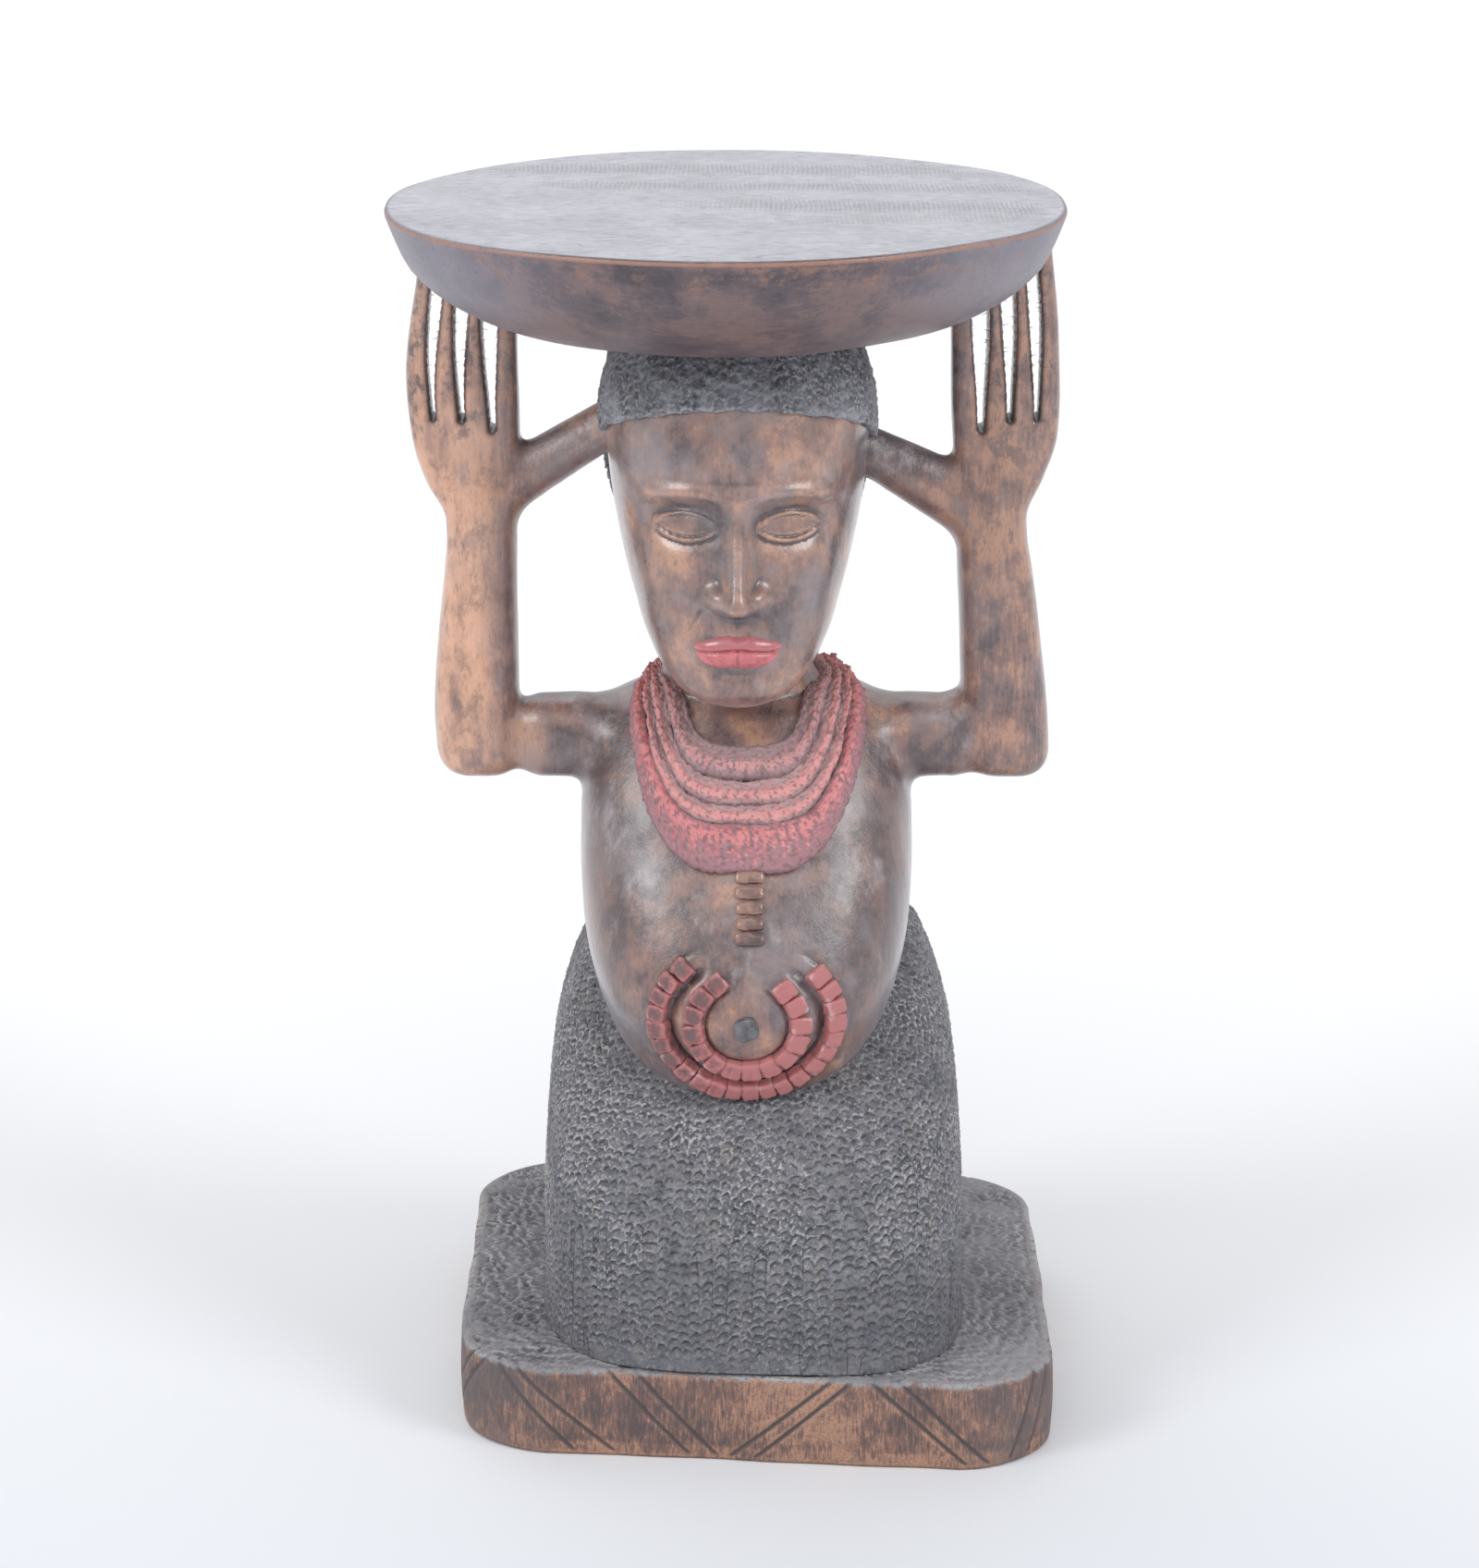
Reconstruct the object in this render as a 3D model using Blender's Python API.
"""A caryatid stool: a kneeling figure that carries a shallow oval seat on its head and hands.

The real stool is carved from one log. Here each carved member is its own solid, parted from its
neighbours by a hair gap along the line where the carver's surfaces meet. Metres, +Z up, the figure
faces -Y, and the stool stands on z = 0 under the middle of its seat.
"""

import math

import bmesh
import bpy
from mathutils import Matrix, Vector

# The hair gap that parts neighbours, and how meshes are cleaned and shaded
GAP = 0.0003
SMOOTH_ANGLE = math.radians(38)
SEARCH_STEPS = 40

# Heights, stacked from the floor up
PLINTH_HEIGHT = 0.040
LAP_HEIGHT = 0.110
TORSO_HEIGHT = 0.150
CHIN_LIFT = 0.003
HEAD_HEIGHT = 0.144
SEAT_THICKNESS = 0.053
LEAN = 0.012

LAP_LEVEL = PLINTH_HEIGHT
BELLY_LEVEL = LAP_LEVEL + LAP_HEIGHT
SHOULDER_LEVEL = BELLY_LEVEL + TORSO_HEIGHT
CHIN_LEVEL = SHOULDER_LEVEL + CHIN_LIFT
SEAT_LEVEL = CHIN_LEVEL + HEAD_HEIGHT
STOOL_HEIGHT = SEAT_LEVEL + SEAT_THICKNESS

# Seat: a flat oval top over a bowl-shaped underside
SEAT_DEPTH = 0.258
SEAT_EXPONENT = 2.2
SEAT_SIDES = 56
SEAT_PROFILE_SHARES = (
    (0.30, 1.00),
    (0.45, 0.955),
    (0.60, 0.89),
    (0.70, 0.82),
    (0.80, 0.70),
    (0.89, 0.54),
    (0.95, 0.36),
    (0.985, 0.15),
    (1.00, 0.05),
    (0.99, 0.00),
)

# Plinth: a rounded slab whose front and back edges run off square, stabbed all over its top
PLINTH_WIDTH = 0.248
PLINTH_DEPTH = 0.226
PLINTH_SKEW = 0.016
PLINTH_CORNER = 0.042
PLINTH_EDGE = 0.002
PLINTH_CORNER_STEPS = 8
PLINTH_RUN_STEPS = (18, 16, 18, 16)
PLINTH_CUT_DEPTH = 0.0015
PLINTH_RING_SHARES = (0.22, 0.40, 0.58, 0.76, 0.88)

# Lap block: the kneeling legs under their chip-carved wrap, rising to the waist behind
LAP_WIDTH = 0.175
LAP_FRONT = 0.110
LAP_BACK = 0.090
LAP_RISE = 0.172
LAP_EXPONENT = 3.6
LAP_SIDES = 64
LAP_ROWS = 24
LAP_CHIP_DEPTH = 0.0015
LAP_SKEW_SHARE = 0.7
LAP_PROFILE_SHARES = (
    (0.00, 1.000, 1.00, 1.00),
    (0.30, 1.000, 0.98, 1.00),
    (0.43, 1.000, 0.92, 0.99),
    (0.54, 0.990, 0.83, 0.98),
    (0.65, 0.975, 0.67, 0.96),
    (0.74, 0.955, 0.48, 0.94),
    (0.83, 0.910, 0.28, 0.90),
    (0.91, 0.850, 0.08, 0.84),
    (0.97, 0.790, -0.08, 0.77),
    (1.00, 0.740, -0.14, 0.71),
)

# Torso: a barrel that swells into a forward belly
TORSO_WIDTH = 0.137
BELLY_FRONT = 0.093
TORSO_BACK = 0.052
TORSO_EXPONENT = 2.35
TORSO_SIDES = 32
TORSO_PROFILE_SHARES = (
    (-0.090, 0.50, 0.66, 0.44),
    (-0.030, 0.64, 0.81, 0.60),
    (0.030, 0.735, 0.90, 0.72),
    (0.100, 0.81, 0.955, 0.82),
    (0.200, 0.89, 1.00, 0.91),
    (0.330, 0.965, 0.965, 0.96),
    (0.470, 0.995, 0.860, 0.98),
    (0.600, 1.00, 0.73, 0.97),
    (0.730, 0.99, 0.61, 0.93),
    (0.840, 0.94, 0.48, 0.88),
    (0.920, 0.85, 0.37, 0.82),
    (0.975, 0.70, 0.28, 0.75),
    (1.000, 0.50, 0.22, 0.66),
)

# Head and hair
HEAD_WIDTH = 0.107
HEAD_FRONT = 0.060
HEAD_BACK = 0.058
HEAD_EXPONENT = 2.15
HEAD_SIDES = 32
HEAD_PROFILE_SHARES = (
    (0.00, 0.20, 0.84, -0.42),
    (0.03, 0.37, 0.92, -0.28),
    (0.09, 0.54, 0.965, -0.05),
    (0.18, 0.68, 0.975, 0.25),
    (0.30, 0.79, 0.965, 0.60),
    (0.42, 0.88, 0.955, 0.85),
    (0.54, 0.945, 0.95, 0.96),
    (0.66, 0.985, 0.965, 1.00),
    (0.76, 1.00, 0.96, 1.00),
    (0.88, 0.96, 0.89, 0.95),
    (1.00, 0.83, 0.74, 0.82),
    (1.08, 0.66, 0.56, 0.64),
)
NOSE_WIDTH = 0.021
NOSE_PROUD = 0.011
NOSE_PROFILE_SHARES = (
    (0.31, 0.90, 0.55),
    (0.335, 1.00, 1.00),
    (0.39, 0.92, 0.92),
    (0.47, 0.52, 0.55),
    (0.56, 0.38, 0.22),
    (0.64, 0.36, 0.05),
)
NOSE_EXPONENT = 2.2
NOSE_SIDES = 12
MOUTH_WIDTH = 0.034
LIP_HEIGHT = 0.016
LIP_PROUD = 0.0055
MOUTH_HEIGHT_SHARE = 0.205
EYE_WIDTH = 0.021
EYE_HEIGHT = 0.011
EYE_PROUD = 0.0035
EYE_HEIGHT_SHARE = 0.53
PAD_MERIDIANS = 20
PAD_PARALLELS = 10
HAIR_THICKNESS = 0.004
HAIRLINE_SHARES = (
    (1.20, 0.835),
    (0.55, 0.815),
    (0.10, 0.760),
    (-0.16, 0.640),
    (-0.30, 0.420),
    (-0.55, 0.300),
    (-1.30, 0.250),
    (-1.30, 1.200),
    (1.20, 1.200),
)

# Neck and the collar of four strands that lies round it
NECK_WIDTH = 0.061
NECK_DEPTH = 0.056
NECK_SET_BACK = 0.004
NECK_SIDES = 24
NECK_ROOT_SHARE = 0.25
NECK_TOP_SHARE = 0.33
COLLAR_CORE_SHARE = 0.50
COLLAR_FRONT_ANGLE = math.radians(76)
COLLAR_SPREAD_SHARES = (
    (0.00, 1.00),
    (0.05, 0.97),
    (0.10, 0.82),
    (0.15, 0.62),
    (0.20, 0.49),
    (0.25, 0.43),
    (0.38, 0.41),
    (0.50, 0.41),
)
STRAND_PROUD = 0.006
STRAND_SINK = 0.004
STRAND_MARGIN_SHARE = 0.6
STRAND_STATIONS = 40
STRAND_SPLIT_SHARES = (0.0, 0.30, 0.52, 0.74, 1.0)
STRAND_OUTLINE_SHARES = ((0.0, 0.55), (0.20, 0.95), (0.75, 1.00), (1.0, 0.60))
STRAND_NAMES = ("collar_strand_top", "collar_strand_second", "collar_strand_third", "collar_strand_bottom")

# Arms, the same on both sides but for the thumb and how far the forearm stands out under the hand
ARM_WINDOW = 0.020
ARM_THICKNESS = 0.036
ARM_DEPTH = 0.036
ARM_DROP = 0.004
ARM_ROOT_SHARE = 0.25
ELBOW_TUCK = 0.007
FOREARM_WIDTH = 0.0355
FOREARM_DEPTH = 0.034
HAND_INSET = 0.005
RIGHT_ARM_OUT = 0.0042
LEFT_ARM_OUT = 0.0013
ARMS_OUT = {"right": RIGHT_ARM_OUT, "left": LEFT_ARM_OUT}
HAND_SHIFT = 0.0025
PALM_WIDTH = 0.0440
PALM_LENGTH = 0.068
PALM_DEPTH = 0.020
WRIST_WIDTH = 0.0288
WRIST_DEPTH = 0.027
ARM_EXPONENT = 2.4
ARM_SIDES = 20
UPPER_ARM_SHARES = ((0.0, 0.55), (0.25, 0.78), (0.45, 0.95), (0.72, 0.93), (1.0, 0.88))
FOREARM_ROUND_SHARES = ((0.0, 0.62), (0.02, 0.84), (0.07, 0.97), (0.14, 1.0))
FOREARM_TAPER_SHARES = ((0.35, 0.08), (0.60, 0.30), (0.80, 0.60), (1.0, 0.94))
PALM_SPREAD_SHARES = (
    (0.0, 0.09),
    (0.19, 0.0),
    (0.30, 0.06),
    (0.40, 0.24),
    (0.50, 0.50),
    (0.60, 0.73),
    (0.72, 0.89),
    (0.88, 0.97),
    (1.0, 1.0),
)

# Fingers, four to a hand, from the knuckles up to the seat; "right" is the figure's own right
FINGERS = 4
FINGER_LENGTH = 0.027
FINGER_WIDTH = 0.0080
FINGER_DEPTH = 0.016
FINGER_LEAN = 0.005
FINGER_SIDES = 12
FINGER_TOP_SHARE = 0.74
FINGER_WAIST_SHARES = ((0.0, 1.06), (0.35, 0.94), (0.70, 0.94), (1.0, 0.96))

# Thumbs: bars with a ridge along the middle, from the palm to the temple
THUMB_DEPTH = 0.019
THUMB_TIP_HEIGHT = 0.021
THUMB_TIP_REACH_SHARE = 0.43
THUMB_ROOT_REACH_SHARE = 0.33
THUMB_STATION_SHARES = (0.0, 0.3, 0.6, 1.0)
THUMB_EXPONENT = 1.55
THUMB_SIDES = 16
RIGHT_THUMB_ROOT_HEIGHT = 0.027
RIGHT_THUMB_RISE = 0.030
LEFT_THUMB_ROOT_HEIGHT = 0.033
LEFT_THUMB_RISE = 0.0215
THUMB_SHAPES = {
    "right": (RIGHT_THUMB_ROOT_HEIGHT, RIGHT_THUMB_RISE, 0.765),
    "left": (LEFT_THUMB_ROOT_HEIGHT, LEFT_THUMB_RISE, 0.685),
}

ELBOW_LEVEL = SHOULDER_LEVEL - ARM_DROP - ARM_THICKNESS
KNUCKLE_LEVEL = SEAT_LEVEL - FINGER_LENGTH
WRIST_LEVEL = KNUCKLE_LEVEL - PALM_LENGTH
ELBOW_REACH = TORSO_WIDTH / 2 + ARM_WINDOW + FOREARM_WIDTH
HAND_REACH = ELBOW_REACH + ELBOW_TUCK
PALM_INNER = HAND_REACH - PALM_WIDTH
SEAT_WIDTH = 2 * (HAND_REACH + HAND_INSET)

# Carved marks on the front of the torso
BELLY_CORE_SHARE = 0.22
BELLY_CORE_DEPTH_SHARE = 0.33
NAVEL_DIAMETER = 0.010
NAVEL_PROUD = 0.0045
NAVEL_SINK = 0.006
NAVEL_SIDES = 12
NAVEL_TAPER_SHARE = 0.86
OUTER_RING_RADIUS = 0.0365
INNER_RING_RADIUS = 0.0215
OUTER_RING_OPENING = math.radians(42)
INNER_RING_OPENING = math.radians(24)
RING_BAND = 0.0078
RING_PROUD = 0.0032
RING_SINK = 0.0040
OUTER_RING_STATIONS = 30
INNER_RING_STATIONS = 20
BELLY_RINGS = {
    "outer_belly_ring": (OUTER_RING_RADIUS, OUTER_RING_OPENING, OUTER_RING_STATIONS),
    "inner_belly_ring": (INNER_RING_RADIUS, INNER_RING_OPENING, INNER_RING_STATIONS),
}
BAND_OUTLINE_SHARES = ((-0.5, 0.60), (-0.22, 1.00), (0.22, 1.00), (0.5, 0.60))
STRIP_WIDTH = 0.012
STRIP_PROUD = 0.0026
STRIP_RIDGES = 6
STATIONS_PER_RIDGE = 4
STRIP_TOP_SHARE = 0.640
STRIP_BOTTOM_SHARE = 0.435
STRIP_VALLEY_SHARE = 0.35

SIDE_SIGNS = {"right": -1, "left": 1}

FINISHES = {
    "seat_wood": ((0.115, 0.062, 0.042), 0.45),
    "body_wood": ((0.120, 0.066, 0.044), 0.42),
    "arm_wood": ((0.230, 0.110, 0.055), 0.45),
    "plinth_wood": ((0.210, 0.095, 0.048), 0.60),
    "blackened_wood": ((0.060, 0.060, 0.064), 0.80),
    "collar_paint": ((0.300, 0.075, 0.075), 0.75),
    "bead_paint": ((0.420, 0.095, 0.080), 0.55),
    "lip_paint": ((0.620, 0.060, 0.055), 0.35),
}


def clear_scene():
    for thing in list(bpy.data.objects):
        bpy.data.objects.remove(thing)


def new_collection(name):
    made = bpy.data.collections.new(name)
    bpy.context.scene.collection.children.link(made)
    return made


def finish(name):
    """The material of one finish, made the first time it is asked for."""
    found = bpy.data.materials.get(name)
    if found:
        return found
    colour, roughness = FINISHES[name]
    made = bpy.data.materials.new(name)
    made.use_nodes = True
    shader = made.node_tree.nodes["Principled BSDF"]
    shader.inputs["Base Color"].default_value = (*colour, 1)
    shader.inputs["Roughness"].default_value = roughness
    shader.inputs["Metallic"].default_value = 0
    return made


def middle(level):
    """The log leans: its middle moves over by LEAN between the seat and the floor."""
    return LEAN * (1 - level / STOOL_HEIGHT)


def signed_power(value, power):
    return math.copysign(abs(value) ** power, value)


def oval(centre, first, second, exponent, sides):
    """A closed outline round centre, spanned by first and second; an exponent over 2 squares it."""
    outline = []
    for i in range(sides):
        angle = math.tau * i / sides
        along = signed_power(math.cos(angle), 2 / exponent)
        across = signed_power(math.sin(angle), 2 / exponent)
        outline.append(centre + first * along + second * across)
    return outline


def level_oval(x, front, back, level, half_width, exponent, sides, grow=0):
    """A level outline from y = -front to y = back, let out by grow all round."""
    centre = Vector((x, (back - front) / 2, level))
    half_depth = (back + front) / 2 + grow
    return oval(centre, Vector((half_width + grow, 0, 0)), Vector((0, half_depth, 0)), exponent, sides)


def end_growth(height_share, grow):
    """How far a grown outline moves up or down, so that a shape's ends grow as its sides do."""
    return grow * height_share - grow * (1 - height_share)


def loft(name, outlines, closed=False):
    """A mesh through the outlines in turn, with its ends filled, or run round to its start if closed."""
    shape = bmesh.new()
    rows = [[shape.verts.new(point) for point in outline] for outline in outlines]
    pairs = list(zip(rows, rows[1:]))
    if closed:
        pairs.append((rows[-1], rows[0]))
    for lower, upper in pairs:
        count = len(lower)
        for i in range(count):
            after = (i + 1) % count
            shape.faces.new((lower[i], lower[after], upper[after], upper[i]))
    if not closed:
        shape.faces.new(rows[0])
        shape.faces.new(rows[-1])
    bmesh.ops.triangulate(shape, faces=shape.faces)
    bmesh.ops.recalc_face_normals(shape, faces=shape.faces)
    mesh = bpy.data.meshes.new(name)
    shape.to_mesh(mesh)
    shape.free()
    return mesh


def add_part(name, mesh, finish_name):
    part = bpy.data.objects.new(name, mesh)
    stool.objects.link(part)
    mesh.materials.append(finish(finish_name))
    mesh.shade_smooth()
    mesh.set_sharp_from_angle(angle=SMOOTH_ANGLE)
    return part


def add_cutter(name, mesh):
    cutter = bpy.data.objects.new(name + "_cutter", mesh)
    cutters.objects.link(cutter)
    cutter.hide_render = True
    cutter.display_type = "WIRE"
    return cutter


def apply_boolean(part, other, operation):
    modifier = part.modifiers.new(operation.lower() + "_" + other.name, "BOOLEAN")
    modifier.operation = operation
    modifier.object = other
    modifier.solver = "EXACT"


def cut(part, *others):
    for other in others:
        apply_boolean(part, other, "DIFFERENCE")


def between(rows, share):
    """The row of a table of shares at this share of its first column, read along straight lines."""
    if share <= rows[0][0]:
        return rows[0]
    for low, high in zip(rows, rows[1:]):
        if share <= high[0]:
            t = (share - low[0]) / (high[0] - low[0])
            return tuple(a + (b - a) * t for a, b in zip(low, high))
    return rows[-1]


def faired(rows, share):
    """The row of a table of shares at this share of its first column, read along a smooth curve."""
    step = 0
    while step < len(rows) - 2 and share > rows[step + 1][0]:
        step += 1
    before, low = rows[max(step - 1, 0)], rows[step]
    high, after = rows[step + 1], rows[min(step + 2, len(rows) - 1)]
    gap = high[0] - low[0]
    t = (share - low[0]) / gap
    found = []
    for column in range(len(low)):
        start_slope = (high[column] - before[column]) / (high[0] - before[0]) * gap
        end_slope = (after[column] - low[column]) / (after[0] - low[0]) * gap
        rise = high[column] - low[column]
        curve = (start_slope * (1 - t) - end_slope * t) * t * (1 - t) + rise * t * t * (3 - 2 * t)
        found.append(low[column] + curve)
    return found


def chip_carved(whole, sunk, row):
    """An outline with every second point taken from the sunk one, out of step with the rows beside it."""
    return [pair[(i + row) % 2] for i, pair in enumerate(zip(whole, sunk))]


# Seat
def seat_mesh(name, grow=0):
    outlines = []
    for width_share, depth_share in SEAT_PROFILE_SHARES:
        level = STOOL_HEIGHT - SEAT_THICKNESS * depth_share
        rise = grow if depth_share == 0 else -grow
        half_width = SEAT_WIDTH / 2 * width_share
        half_depth = SEAT_DEPTH / 2 * width_share
        outlines.append(
            level_oval(0, half_depth, half_depth, level + rise, half_width, SEAT_EXPONENT, SEAT_SIDES, grow)
        )
    return loft(name, outlines)


# Plinth
def plinth_outline(level, inset):
    """Four corners pushed off square by the skew, each rounded with an arc, and the runs between them."""
    half_width = PLINTH_WIDTH / 2 - PLINTH_CORNER
    half_depth = PLINTH_DEPTH / 2 - PLINTH_CORNER
    half_skew = PLINTH_SKEW / 2
    corners = []
    for quarter, (side, end) in enumerate(((1, 1), (-1, 1), (-1, -1), (1, -1))):
        centre = Vector((middle(0) + side * half_width, end * half_depth - side * half_skew, level))
        corner = []
        for step in range(PLINTH_CORNER_STEPS + 1):
            angle = math.pi / 2 * (quarter + step / PLINTH_CORNER_STEPS)
            way = Vector((math.cos(angle), math.sin(angle), 0))
            corner.append(centre + way * (PLINTH_CORNER - inset))
        corners.append(corner)
    points = []
    for corner, next_corner, steps in zip(corners, corners[1:] + corners[:1], PLINTH_RUN_STEPS):
        points += corner
        points += [corner[-1].lerp(next_corner[0], step / steps) for step in range(1, steps)]
    return points


def plinth_mesh(name):
    outlines = [
        plinth_outline(0, PLINTH_EDGE),
        plinth_outline(PLINTH_EDGE, 0),
        plinth_outline(PLINTH_HEIGHT - PLINTH_EDGE, 0),
        plinth_outline(PLINTH_HEIGHT, PLINTH_EDGE),
    ]
    for row, ring_share in enumerate(PLINTH_RING_SHARES[:-1]):
        inset = PLINTH_CORNER * ring_share
        sunk = plinth_outline(PLINTH_HEIGHT - PLINTH_CUT_DEPTH, inset)
        outlines.append(chip_carved(plinth_outline(PLINTH_HEIGHT, inset), sunk, row))
    outlines.append(plinth_outline(PLINTH_HEIGHT, PLINTH_CORNER * PLINTH_RING_SHARES[-1]))
    return loft(name, outlines)


# Lap block
def lap_outline(height_share, grow=0):
    """The wrap's front runs off square with the plinth's, so every outline is sheared the same way."""
    _, width_share, front_share, back_share = faired(LAP_PROFILE_SHARES, height_share)
    outline = level_oval(
        middle(LAP_LEVEL),
        LAP_FRONT * front_share,
        LAP_BACK * back_share,
        LAP_LEVEL + GAP + (LAP_RISE - GAP) * height_share,
        LAP_WIDTH / 2 * width_share,
        LAP_EXPONENT,
        LAP_SIDES,
        grow,
    )
    for point in outline:
        point.y -= PLINTH_SKEW * LAP_SKEW_SHARE * (point.x - middle(LAP_LEVEL)) / LAP_WIDTH
    return outline


def lap_mesh(name):
    outlines = [lap_outline(0)]
    for row in range(1, LAP_ROWS):
        height_share = row / LAP_ROWS
        sunk = lap_outline(height_share, -LAP_CHIP_DEPTH)
        outlines.append(chip_carved(lap_outline(height_share), sunk, row))
    outlines.append(lap_outline(1))
    return loft(name, outlines)


# Torso
def torso_mesh(name, grow=0):
    outlines = []
    for height_share, width_share, front_share, back_share in TORSO_PROFILE_SHARES:
        level = BELLY_LEVEL + TORSO_HEIGHT * height_share + end_growth(height_share, grow)
        outlines.append(
            level_oval(
                middle(BELLY_LEVEL),
                BELLY_FRONT * front_share,
                TORSO_BACK * back_share,
                level,
                TORSO_WIDTH / 2 * width_share,
                TORSO_EXPONENT,
                TORSO_SIDES,
                grow,
            )
        )
    return loft(name, outlines)


def torso_level_at(point):
    """Under 1 inside the torso, over 1 outside it."""
    share = (point.z - BELLY_LEVEL) / TORSO_HEIGHT
    if share > 1:
        return math.inf
    _, width_share, front_share, back_share = between(TORSO_PROFILE_SHARES, share)
    front = BELLY_FRONT * front_share
    back = TORSO_BACK * back_share
    across = (point.x - middle(BELLY_LEVEL)) / (TORSO_WIDTH / 2 * width_share)
    along = (point.y - (back - front) / 2) / ((back + front) / 2)
    return abs(across) ** TORSO_EXPONENT + abs(along) ** TORSO_EXPONENT


def belly_core():
    """A point inside the belly, behind the navel, from which the belly's marks are laid out."""
    y = -BELLY_FRONT * BELLY_CORE_DEPTH_SHARE
    return Vector((middle(BELLY_LEVEL), y, BELLY_LEVEL + TORSO_HEIGHT * BELLY_CORE_SHARE))


def skin_point(core, direction):
    """Where a ray from the point core inside the torso leaves it."""
    near, far = 0, BELLY_FRONT + TORSO_WIDTH
    for _ in range(SEARCH_STEPS):
        reach = (near + far) / 2
        if torso_level_at(core + direction * reach) < 1:
            near = reach
        else:
            far = reach
    return core + direction * near


def navel_point():
    return skin_point(belly_core(), Vector((0, -1, 0)))


def ring_point(radius, angle):
    """A point on the belly at this radius from the navel, at this angle clockwise from the top."""
    spread = math.atan(radius / (belly_core().y - navel_point().y))
    sideways = Vector((math.sin(angle), 0, math.cos(angle))) * math.sin(spread)
    return skin_point(belly_core(), Vector((0, -math.cos(spread), 0)) + sideways)


def band_outlines(path, centre, band, proud, sink, lift_shares=None):
    """Outlines of a band that follows path over a bulging surface, whose inside holds centre."""
    outlines = []
    for i, place in enumerate(path):
        tangent = (path[min(i + 1, len(path) - 1)] - path[max(i - 1, 0)]).normalized()
        outward = place - centre
        outward = (outward - tangent * outward.dot(tangent)).normalized()
        sideways = tangent.cross(outward)
        lift = proud * (lift_shares[i] if lift_shares else 1)
        outline = [
            place + sideways * band * across + outward * lift * up for across, up in BAND_OUTLINE_SHARES
        ]
        outline.append(place + sideways * band / 2 - outward * sink)
        outline.append(place - sideways * band / 2 - outward * sink)
        outlines.append(outline)
    return outlines


def ring_mesh(name, radius, opening, stations, grow=0):
    turn = math.tau - 2 * opening
    path = [ring_point(radius, opening + turn * i / stations) for i in range(stations + 1)]
    outlines = band_outlines(path, belly_core(), RING_BAND + grow + grow, RING_PROUD + grow, RING_SINK)
    return loft(name, outlines)


def build_navel_boss():
    mesh = bpy.data.meshes.new("navel_boss")
    shape = bmesh.new()
    length = NAVEL_PROUD + NAVEL_SINK
    bmesh.ops.create_cone(
        shape,
        cap_ends=True,
        segments=NAVEL_SIDES,
        radius1=NAVEL_DIAMETER / 2,
        radius2=NAVEL_DIAMETER * NAVEL_TAPER_SHARE / 2,
        depth=length,
    )
    place = Matrix.Translation(navel_point() - Vector((0, length / 2 - NAVEL_SINK, 0)))
    shape.transform(place @ Matrix.Rotation(math.pi / 2, 4, "X"))
    shape.to_mesh(mesh)
    shape.free()
    return add_part("navel_boss", mesh, "blackened_wood")


def build_chest_strip():
    """A short ladder of ridges between the collar and the belly rings."""
    stations = STATIONS_PER_RIDGE * STRIP_RIDGES
    core = belly_core()
    path, lifts = [], []
    for i in range(stations + 1):
        share = STRIP_TOP_SHARE + (STRIP_BOTTOM_SHARE - STRIP_TOP_SHARE) * i / stations
        level = BELLY_LEVEL + TORSO_HEIGHT * share
        front = BELLY_FRONT * between(TORSO_PROFILE_SHARES, share)[2]
        path.append(Vector((middle(BELLY_LEVEL), -front, level)))
        lifts.append(STRIP_VALLEY_SHARE if i % STATIONS_PER_RIDGE == 0 else 1)
    outlines = band_outlines(path, Vector((core.x, 0, core.z)), STRIP_WIDTH, STRIP_PROUD, RING_SINK, lifts)
    return add_part("chest_strip", loft("chest_strip", outlines), "body_wood")


# Head, face and hair
def head_mesh(name, grow=0):
    outlines = []
    for height_share, width_share, front_share, back_share in HEAD_PROFILE_SHARES:
        level = CHIN_LEVEL + HEAD_HEIGHT * height_share + end_growth(height_share, grow)
        outlines.append(
            level_oval(
                middle(CHIN_LEVEL),
                HEAD_FRONT * front_share,
                HEAD_BACK * back_share,
                level,
                HEAD_WIDTH / 2 * width_share,
                HEAD_EXPONENT,
                HEAD_SIDES,
                grow,
            )
        )
    return loft(name, outlines)


def face_front(height_share):
    """How far the face reaches forward at this share of the head's height."""
    return HEAD_FRONT * between(HEAD_PROFILE_SHARES, height_share)[2]


def nose_mesh(name):
    outlines = []
    for height_share, width_share, proud_share in NOSE_PROFILE_SHARES:
        face = face_front(height_share)
        outlines.append(
            level_oval(
                middle(CHIN_LEVEL),
                face + NOSE_PROUD * proud_share,
                -face + NOSE_PROUD,
                CHIN_LEVEL + HEAD_HEIGHT * height_share,
                NOSE_WIDTH / 2 * width_share,
                NOSE_EXPONENT,
                NOSE_SIDES,
            )
        )
    return loft(name, outlines)


def face_pad(name, across, height_share, width, height, proud, finish_name):
    """An oval swelling on the face, such as an eye or the lips."""
    face = face_front(height_share)
    half_width = HEAD_WIDTH / 2 * between(HEAD_PROFILE_SHARES, height_share)[1]
    setback = face * (1 - (1 - abs(across / half_width) ** HEAD_EXPONENT) ** (1 / HEAD_EXPONENT))
    place = Vector((middle(CHIN_LEVEL) + across, setback - face, CHIN_LEVEL + HEAD_HEIGHT * height_share))
    mesh = bpy.data.meshes.new(name)
    shape = bmesh.new()
    bmesh.ops.create_uvsphere(shape, u_segments=PAD_MERIDIANS, v_segments=PAD_PARALLELS, radius=1)
    bmesh.ops.scale(shape, vec=(width / 2, proud, height / 2), verts=shape.verts)
    turn = Matrix.Rotation(across / half_width, 4, "Z")
    shape.transform(Matrix.Translation(place) @ turn)
    shape.to_mesh(mesh)
    shape.free()
    return add_part(name, mesh, finish_name)


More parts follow.
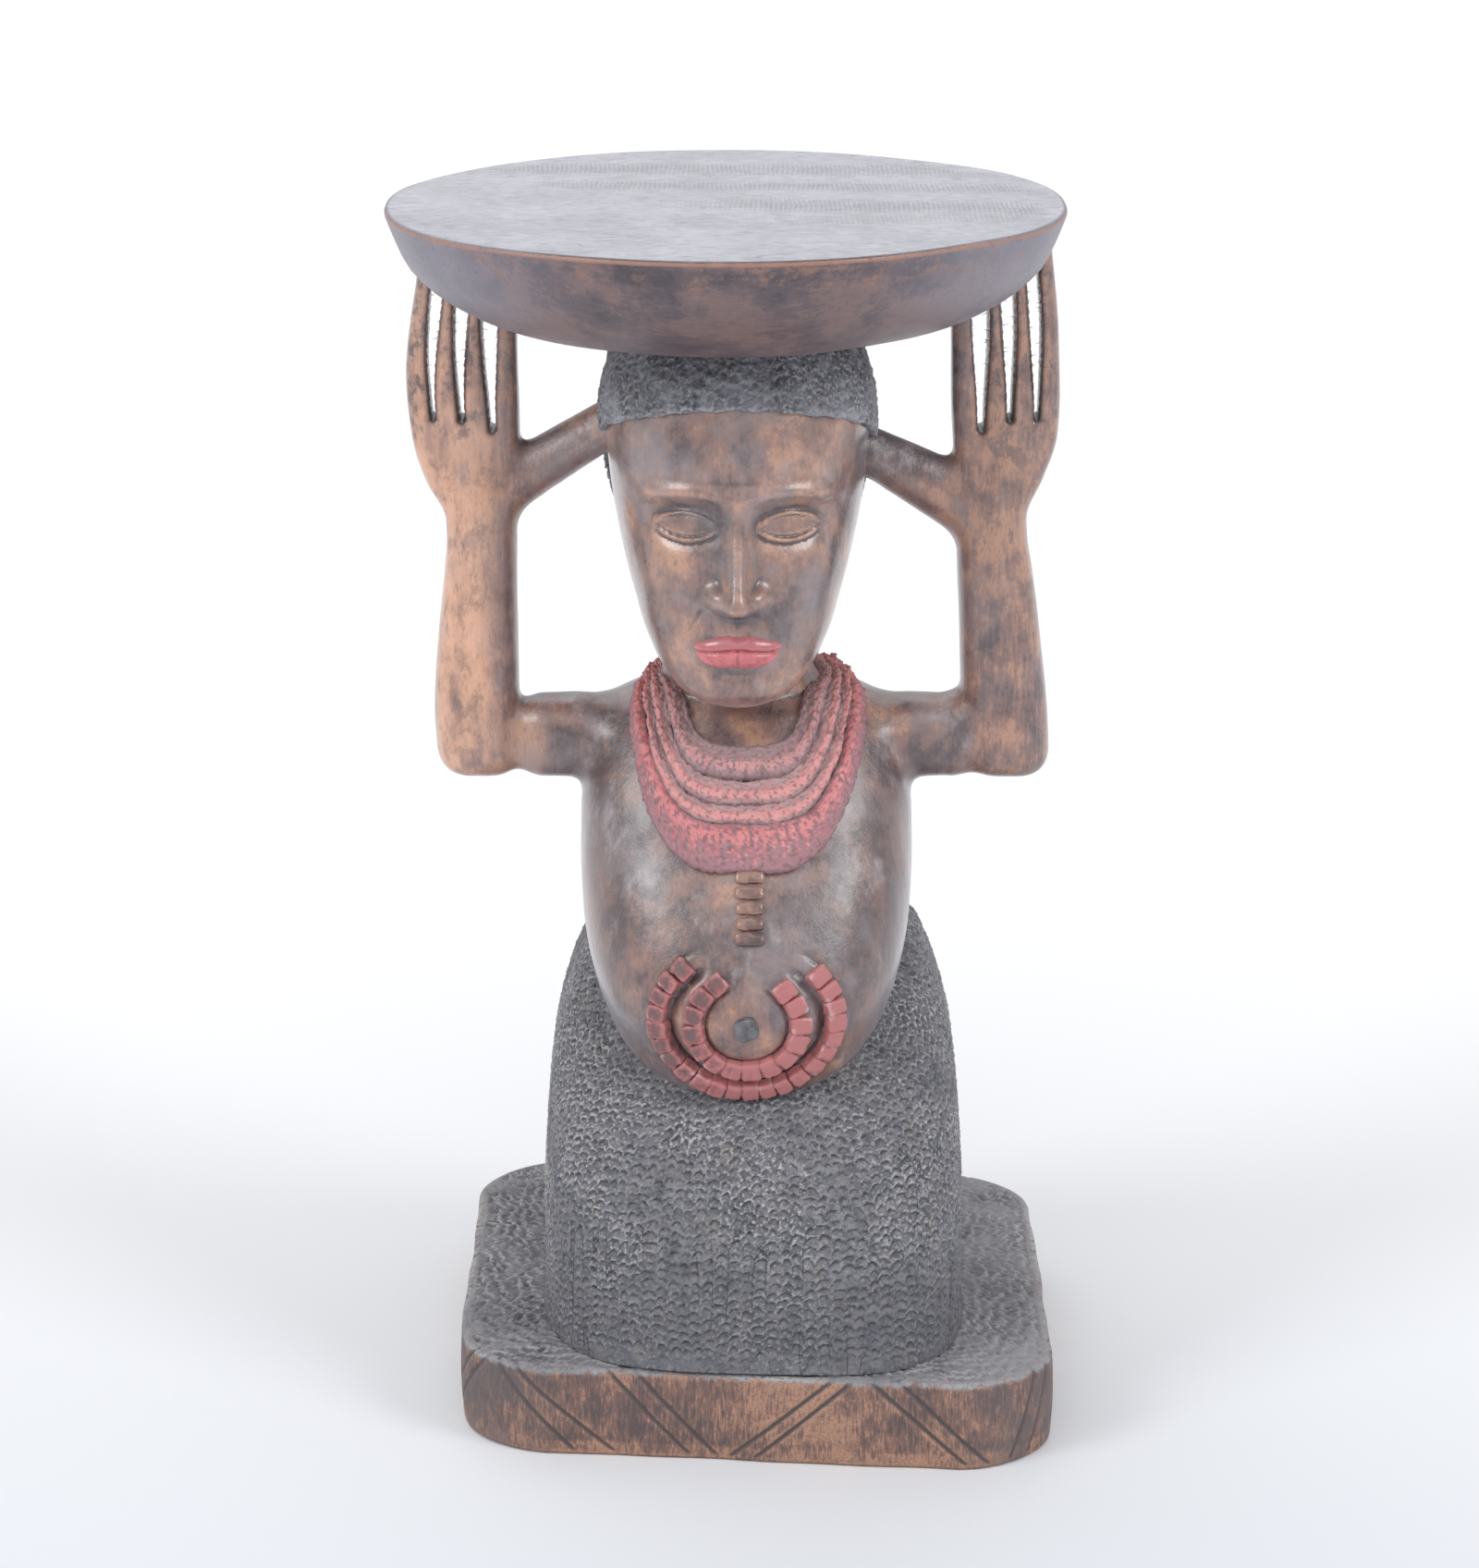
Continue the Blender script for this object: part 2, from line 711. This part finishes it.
def hair_region():
    """Everything above and behind the hairline, as a slab across the head."""
    reach = HEAD_WIDTH
    outlines = []
    for side in (-1, 1):
        outline = []
        for front_share, height_share in HAIRLINE_SHARES:
            x = middle(CHIN_LEVEL) + side * reach
            level = CHIN_LEVEL + HEAD_HEIGHT * height_share
            outline.append(Vector((x, -HEAD_FRONT * front_share, level)))
        outlines.append(outline)
    return loft("hair_region", outlines)


# Neck and collar
def neck_mesh(name, grow=0):
    outlines = []
    root_level = SHOULDER_LEVEL - TORSO_HEIGHT * NECK_ROOT_SHARE
    top_level = CHIN_LEVEL + HEAD_HEIGHT * NECK_TOP_SHARE
    for level in (root_level, top_level):
        outlines.append(
            level_oval(
                middle(SHOULDER_LEVEL),
                NECK_DEPTH / 2 - NECK_SET_BACK,
                NECK_DEPTH / 2 + NECK_SET_BACK,
                level,
                NECK_WIDTH / 2,
                2,
                NECK_SIDES,
                grow,
            )
        )
    return loft(name, outlines)


def collar_point(core, turn, share):
    """A point on the shoulders this share of the way from the neck out to the collar's edge."""
    turned = abs((turn + 0.5) % 1 - 0.5)
    heading = math.tau * turn
    across = math.sin(heading) / (NECK_WIDTH / 2)
    along = math.cos(heading) / (NECK_DEPTH / 2)
    neck_reach = 1 / math.hypot(across, along) - NECK_SET_BACK * math.cos(heading)
    inner = math.atan2(neck_reach, SHOULDER_LEVEL - core.z)
    outer = COLLAR_FRONT_ANGLE * between(COLLAR_SPREAD_SHARES, turned)[1]
    tilt = inner + (outer - inner) * share
    level_way = Vector((math.sin(heading), -math.cos(heading), 0))
    return skin_point(core, level_way * math.sin(tilt) + Vector((0, 0, math.cos(tilt))))


def strand_mesh(name, start_share, end_share, grow=0):
    """One strand of the collar, a closed band that lies round the neck and dips in front."""
    core = Vector((middle(SHOULDER_LEVEL), 0, BELLY_LEVEL + TORSO_HEIGHT * COLLAR_CORE_SHARE))
    outlines = []
    for i in range(STRAND_STATIONS):
        turn = i / STRAND_STATIONS
        points = [
            collar_point(core, turn, start_share + (end_share - start_share) * share)
            for share, _ in STRAND_OUTLINE_SHARES
        ]
        rays = [(point - core).normalized() for point in points]
        along = (points[-1] - points[0]).normalized() * (GAP * STRAND_MARGIN_SHARE - grow)
        points[0] += along
        points[-1] -= along
        outline = [
            point + ray * (STRAND_PROUD * up + grow)
            for point, ray, (_, up) in zip(points, rays, STRAND_OUTLINE_SHARES)
        ]
        outline.append(points[-1] - rays[-1] * STRAND_SINK)
        outline.append(points[0] - rays[0] * STRAND_SINK)
        outlines.append(outline)
    return loft(name, outlines, closed=True)


# Arms, hands, thumbs and fingers
def upright_outline(side, inner, width, depth, level, sides=ARM_SIDES, grow=0):
    """A level outline of an arm or hand, from its inner edge outward."""
    x = middle(level) + HAND_SHIFT + side * (inner + width / 2)
    return level_oval(x, depth / 2, depth / 2, level, width / 2, ARM_EXPONENT, sides, grow)


def upper_arm_mesh(name, side_name):
    side = SIDE_SIGNS[side_name]
    start = TORSO_WIDTH * ARM_ROOT_SHARE
    length = ELBOW_REACH + ARMS_OUT[side_name] - FOREARM_WIDTH / 2 - start
    arm_level = ELBOW_LEVEL + ARM_THICKNESS / 2
    outlines = []
    for share, size_share in UPPER_ARM_SHARES:
        centre = Vector((middle(ELBOW_LEVEL) + HAND_SHIFT + side * (start + length * share), 0, arm_level))
        half_height = Vector((0, 0, ARM_THICKNESS / 2 * size_share))
        half_depth = Vector((0, ARM_DEPTH / 2 * size_share, 0))
        outlines.append(oval(centre, half_depth, half_height, ARM_EXPONENT, ARM_SIDES))
    return loft(name, outlines)


def forearm_mesh(name, side_name, grow=0):
    side = SIDE_SIGNS[side_name]
    length = WRIST_LEVEL - GAP - ELBOW_LEVEL
    elbow_inner = ELBOW_REACH + ARMS_OUT[side_name] - FOREARM_WIDTH
    wrist_inner = PALM_INNER + ARMS_OUT[side_name]
    outlines = []
    for share, size_share in FOREARM_ROUND_SHARES:
        width = FOREARM_WIDTH * size_share
        inner = elbow_inner + (FOREARM_WIDTH - width) / 2
        level = ELBOW_LEVEL + length * share - (grow if share == 0 else 0)
        outlines.append(upright_outline(side, inner, width, FOREARM_DEPTH * size_share, level, grow=grow))
    for share, taper_share in FOREARM_TAPER_SHARES:
        width = FOREARM_WIDTH + (WRIST_WIDTH - FOREARM_WIDTH) * taper_share
        depth = FOREARM_DEPTH + (WRIST_DEPTH - FOREARM_DEPTH) * taper_share
        inner = elbow_inner + (wrist_inner - elbow_inner) * share
        outlines.append(upright_outline(side, inner, width, depth, ELBOW_LEVEL + length * share, grow=grow))
    return loft(name, outlines)


def palm_mesh(name, side_name, grow=0):
    outlines = []
    for share, spread_share in PALM_SPREAD_SHARES:
        width = WRIST_WIDTH + (PALM_WIDTH - WRIST_WIDTH) * spread_share
        depth = WRIST_DEPTH + (PALM_DEPTH - WRIST_DEPTH) * share
        inner = PALM_INNER + ARMS_OUT[side_name] * (1 - share)
        level = WRIST_LEVEL + PALM_LENGTH * share
        outlines.append(upright_outline(SIDE_SIGNS[side_name], inner, width, depth, level, grow=grow))
    return loft(name, outlines)


def finger_mesh(name, side, index):
    """Finger 0 is the inner one, and the outer ones lean in towards the seat's underside."""
    pitch = (PALM_WIDTH - FINGER_WIDTH) / (FINGERS - 1)
    start = KNUCKLE_LEVEL + GAP
    length = SEAT_LEVEL + SEAT_THICKNESS * FINGER_TOP_SHARE - start
    lean = FINGER_LEAN * index / (FINGERS - 1)
    outlines = []
    for share, width_share in FINGER_WAIST_SHARES:
        width = FINGER_WIDTH * width_share
        inner = PALM_INNER + pitch * index + (FINGER_WIDTH - width) / 2 - lean * share
        level = start + length * share
        outlines.append(upright_outline(side, inner, width, FINGER_DEPTH, level, FINGER_SIDES))
    return loft(name, outlines)


def thumb_mesh(name, side_name, grow=0):
    side = SIDE_SIGNS[side_name]
    root_height, root_rise, tip_share = THUMB_SHAPES[side_name]
    root_reach = PALM_INNER + WRIST_WIDTH * THUMB_ROOT_REACH_SHARE
    tip_reach = HEAD_WIDTH * THUMB_TIP_REACH_SHARE
    root = Vector((root_reach, WRIST_LEVEL + root_rise, root_height))
    tip = Vector((tip_reach, CHIN_LEVEL + HEAD_HEIGHT * tip_share, THUMB_TIP_HEIGHT))
    outlines = []
    for share in THUMB_STATION_SHARES:
        reach, level, height = root.lerp(tip, share)
        centre = Vector((middle(level) + HAND_SHIFT + side * reach, 0, level))
        half_height = Vector((0, 0, height / 2 + grow))
        half_depth = Vector((0, THUMB_DEPTH / 2 + grow, 0))
        outlines.append(oval(centre, half_depth, half_height, THUMB_EXPONENT, THUMB_SIDES))
    return loft(name, outlines)


clear_scene()
stool = new_collection("caryatid_stool")
cutters = new_collection("cutters")

seat_cutter = add_cutter("seat", seat_mesh("seat_cutter", GAP))
torso_cutter = add_cutter("torso", torso_mesh("torso_cutter", GAP))
head_cutter = add_cutter("head", head_mesh("head_cutter", GAP))
neck_cutter = add_cutter("neck", neck_mesh("neck_cutter", GAP))
hair_region_cutter = add_cutter("hair_region", hair_region())
collar_cutter = add_cutter("collar", strand_mesh("collar_cutter", 0, 1, GAP))
ring_cutter = add_cutter("ring", ring_mesh("ring_cutter", *BELLY_RINGS["outer_belly_ring"], GAP))
nose = add_cutter("nose", nose_mesh("nose"))
forearm_cutters, palm_cutters, thumb_cutters = {}, {}, {}
for side_name in SIDE_SIGNS:
    forearm = forearm_mesh("forearm_cutter", side_name, GAP)
    forearm_cutters[side_name] = add_cutter(side_name + "_forearm", forearm)
    palm_cutters[side_name] = add_cutter(side_name + "_palm", palm_mesh("palm_cutter", side_name, GAP))
    thumb_cutters[side_name] = add_cutter(side_name + "_thumb", thumb_mesh("thumb_cutter", side_name, GAP))

add_part("plinth", plinth_mesh("plinth"), "plinth_wood")
lap_block = add_part("lap_block", lap_mesh("lap_block"), "blackened_wood")
torso = add_part("torso", torso_mesh("torso"), "body_wood")
belly_rings = []
for ring_name, ring_shape in BELLY_RINGS.items():
    belly_rings.append(add_part(ring_name, ring_mesh(ring_name, *ring_shape), "bead_paint"))
navel_boss = build_navel_boss()
chest_strip = build_chest_strip()
for worn in (lap_block, navel_boss, chest_strip, *belly_rings):
    cut(worn, torso_cutter)
cut(chest_strip, collar_cutter)
cut(lap_block, ring_cutter)

neck = add_part("neck", neck_mesh("neck"), "body_wood")
cut(neck, torso_cutter, head_cutter)

head = add_part("head", head_mesh("head"), "body_wood")
apply_boolean(head, nose, "UNION")
cut(head, seat_cutter)
lips = face_pad("lips", 0, MOUTH_HEIGHT_SHARE, MOUTH_WIDTH, LIP_HEIGHT, LIP_PROUD, "lip_paint")
cut(lips, head_cutter)
for side_name, side_sign in SIDE_SIGNS.items():
    eye_name = side_name + "_eye"
    across = side_sign * EYE_WIDTH
    eye = face_pad(eye_name, across, EYE_HEIGHT_SHARE, EYE_WIDTH, EYE_HEIGHT, EYE_PROUD, "body_wood")
    cut(eye, head_cutter)
hair = add_part("hair", head_mesh("hair", HAIR_THICKNESS), "blackened_wood")
apply_boolean(hair, hair_region_cutter, "INTERSECT")
cut(hair, head_cutter, seat_cutter, *thumb_cutters.values())

for strand_name, start, end in zip(STRAND_NAMES, STRAND_SPLIT_SHARES, STRAND_SPLIT_SHARES[1:]):
    strand = add_part(strand_name, strand_mesh(strand_name, start, end), "collar_paint")
    cut(strand, torso_cutter, neck_cutter, head_cutter)

for side_name, side_sign in SIDE_SIGNS.items():
    upper_arm_name = side_name + "_upper_arm"
    upper_arm = add_part(upper_arm_name, upper_arm_mesh(upper_arm_name, side_name), "arm_wood")
    cut(upper_arm, torso_cutter, collar_cutter, forearm_cutters[side_name])
    forearm_name = side_name + "_forearm"
    add_part(forearm_name, forearm_mesh(forearm_name, side_name), "arm_wood")
    palm_name = side_name + "_palm"
    add_part(palm_name, palm_mesh(palm_name, side_name), "arm_wood")
    thumb_name = side_name + "_thumb"
    thumb = add_part(thumb_name, thumb_mesh(thumb_name, side_name), "arm_wood")
    cut(thumb, palm_cutters[side_name], head_cutter)
    for index in range(FINGERS):
        finger_name = f"{side_name}_finger_{index + 1}"
        finger = add_part(finger_name, finger_mesh(finger_name, side_sign, index), "arm_wood")
        cut(finger, seat_cutter)

add_part("seat", seat_mesh("seat"), "seat_wood")
